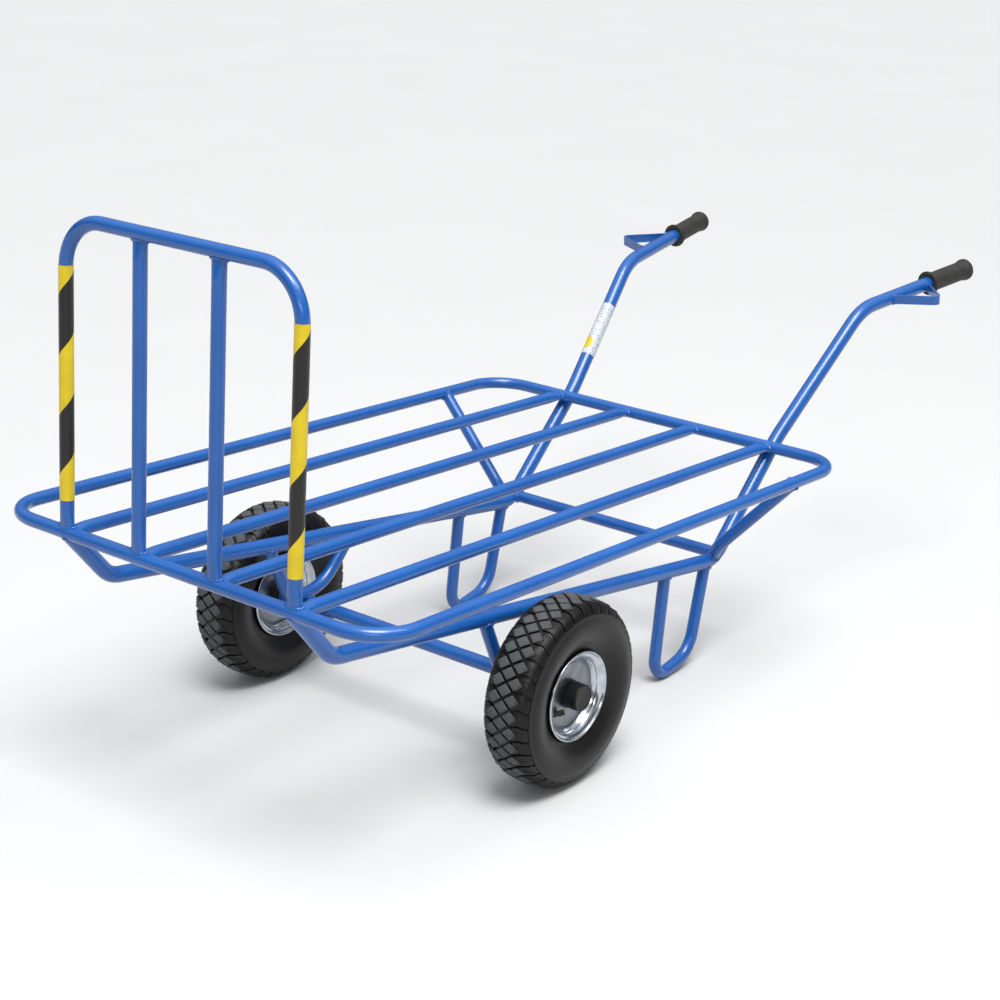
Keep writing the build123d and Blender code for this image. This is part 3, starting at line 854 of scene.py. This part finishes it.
def build_welds(paint):
    """One painted piece for each group of joints, with both sides' beads."""
    groups = {}
    for group, foot, branch, main, radius, halves in weld_places():
        bm = groups.setdefault(group, bmesh.new())
        for side in SIDES.values():
            mirror = Vector((side, 1, 1))
            bead = make_bead(
                Vector(foot) * mirror, Vector(branch) * mirror, Vector(main) * mirror,
                radius, *halves,
            )
            join_into(bm, bead)
    for group, bm in groups.items():
        bmesh.ops.transform(bm, matrix=TO_FLOOR, verts=bm.verts)
        keep_piece(f"{group}_weld_beads", bm, paint, "frame", 60)


# ---------------------------------------------------------------- assembly


blue = make_powder_coat()
tyre_rubber = {name: make_tyre_rubber(name) for name in SIDES}
grip_rubber = make_grip_rubber()
rim_zinc = make_zinc("zinc_plate_bright", "#c9ced4", "#aab0b7", 0.12, 0.24)
disc_zinc = make_zinc("zinc_plate_satin", "#8b9095", "#74797e", 0.28, 0.40)
bolt_zinc = make_zinc("zinc_plate_dull", "#b9b9b4", "#9a9b98", 0.28, 0.42)
cap_plastic = make_plastic("polyethylene_black", "#080808", "#101011", 0.42)
nylon = make_plastic("nylon_black", "#171717", "#202020", 0.5)
stem_rubber = make_plastic("butyl_rubber_black", "#161616", "#1e1d1c", 0.55)
label_vinyl = make_label_vinyl()
tapes = {name: make_hazard_tape(name) for name in SIDES}

FINISHES = {
    "grip": grip_rubber,
    "washer_outer": bolt_zinc,
    "washer_inner": bolt_zinc,
    "split_pin": bolt_zinc,
    "hub": nylon,
    "bush_outer": nylon,
    "bush_inner": nylon,
    "valve_stem": stem_rubber,
    "valve_cap": cap_plastic,
    "inner_tube": stem_rubber,
    "label": label_vinyl,
}


def finish_cad_nodes():
    """Gives every CAD node its real finish."""
    for node_name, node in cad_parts.items():
        base, _, side_name = node_name.rpartition("_")
        material = FINISHES.get(base, FINISHES.get(node_name, blue))
        if base == "hazard_tape":
            material = tapes[side_name]
        if not node.material_slots:
            node.data.materials.append(material)
        for slot in node.material_slots:
            slot.material = material


finish_cad_nodes()
build_tyres(tyre_rubber)
build_rims(rim_zinc, disc_zinc)
build_hub_caps(cap_plastic)
build_grips(grip_rubber)
build_welds(blue)


# ---------------------------------------------------------------- studio


def build_floor():
    """Plain pale floor."""
    bm = bmesh.new()
    bmesh.ops.create_grid(bm, x_segments=1, y_segments=1, size=20)
    mesh = bpy.data.meshes.new("floor")
    bm.to_mesh(mesh)
    bm.free()
    material, tree, shader, place = new_material("floor_paper")
    colour = blend_colours(
        tree, grain(tree, place, 400), linear("#bdbdbd"), linear("#c1c1c1")
    )
    tree.links.new(colour, shader.inputs["Base Color"])
    shader.inputs["Roughness"].default_value = 0.9
    shader.inputs["Specular IOR Level"].default_value = 0.1
    mesh.materials.append(material)
    floor = bpy.data.objects.new("floor", mesh)
    bpy.context.scene.collection.objects.link(floor)


def add_area_light(name, place, size, power):
    """A rectangular light, in metres and watts, that points at the middle of the object."""
    light = bpy.data.lights.new(name, "AREA")
    light.shape = "RECTANGLE"
    light.size, light.size_y = size
    light.energy = power
    lamp = bpy.data.objects.new(name, light)
    lamp.location = place
    way = Vector((0, 0, 0.3)) - Vector(place)
    lamp.rotation_euler = way.to_track_quat("-Z", "Y").to_euler()
    bpy.context.scene.collection.objects.link(lamp)


def build_lights():
    """Broad daylight from above, a softbox, a weak window behind the camera and a pale room."""
    sun = bpy.data.lights.new("overhead_diffuser", "SUN")
    sun.energy = 2.9
    sun.angle = math.radians(30)
    lamp = bpy.data.objects.new("overhead_diffuser", sun)
    lamp.rotation_euler = (math.radians(11), math.radians(15), 0)
    bpy.context.scene.collection.objects.link(lamp)
    add_area_light("softbox_top", (1.2, -0.6, 2.6), (2.2, 0.7), 30)
    add_area_light("window_behind", (2.5, -3.3, 1.75), (1.8, 0.5), 20)
    world = bpy.data.worlds.new("pale_room")
    world.use_nodes = True
    tree = world.node_tree
    way = add_node(tree, "ShaderNodeTexCoord").outputs["Generated"]
    up = add_node(tree, "ShaderNodeSeparateXYZ", {"Vector": way}).outputs["Z"]
    level = spread(tree, up, 0, 1)
    level = add_node(tree, "ShaderNodeMath", {0: level, 1: 1.5}, operation="POWER")
    glow = blend_colours(tree, level.outputs["Value"], linear("#3c4046"), linear("#fafbfc"))
    background = tree.nodes["Background"]
    tree.links.new(glow, background.inputs["Color"])
    background.inputs["Strength"].default_value = 1.35
    bpy.context.scene.world = world


def build_camera():
    """The camera, and the plain view that keeps the paint's saturated blue."""
    data = bpy.data.cameras.new("camera")
    data.sensor_width = 36
    data.lens = LENS
    camera = bpy.data.objects.new("camera", data)
    turn = Matrix.Rotation(math.radians(CAMERA_TURN), 4, "Z")
    tilt = Matrix.Rotation(math.radians(90 - CAMERA_DIP), 4, "X")
    roll = Matrix.Rotation(math.radians(CAMERA_ROLL), 4, "Z")
    place = Matrix.Translation(Vector(CAMERA_PLACE) * MM)
    camera.matrix_world = TO_FLOOR @ place @ turn @ tilt @ roll
    bpy.context.scene.collection.objects.link(camera)
    bpy.context.scene.camera = camera
    bpy.context.scene.view_settings.view_transform = "Standard"


build_floor()
build_lights()
build_camera()
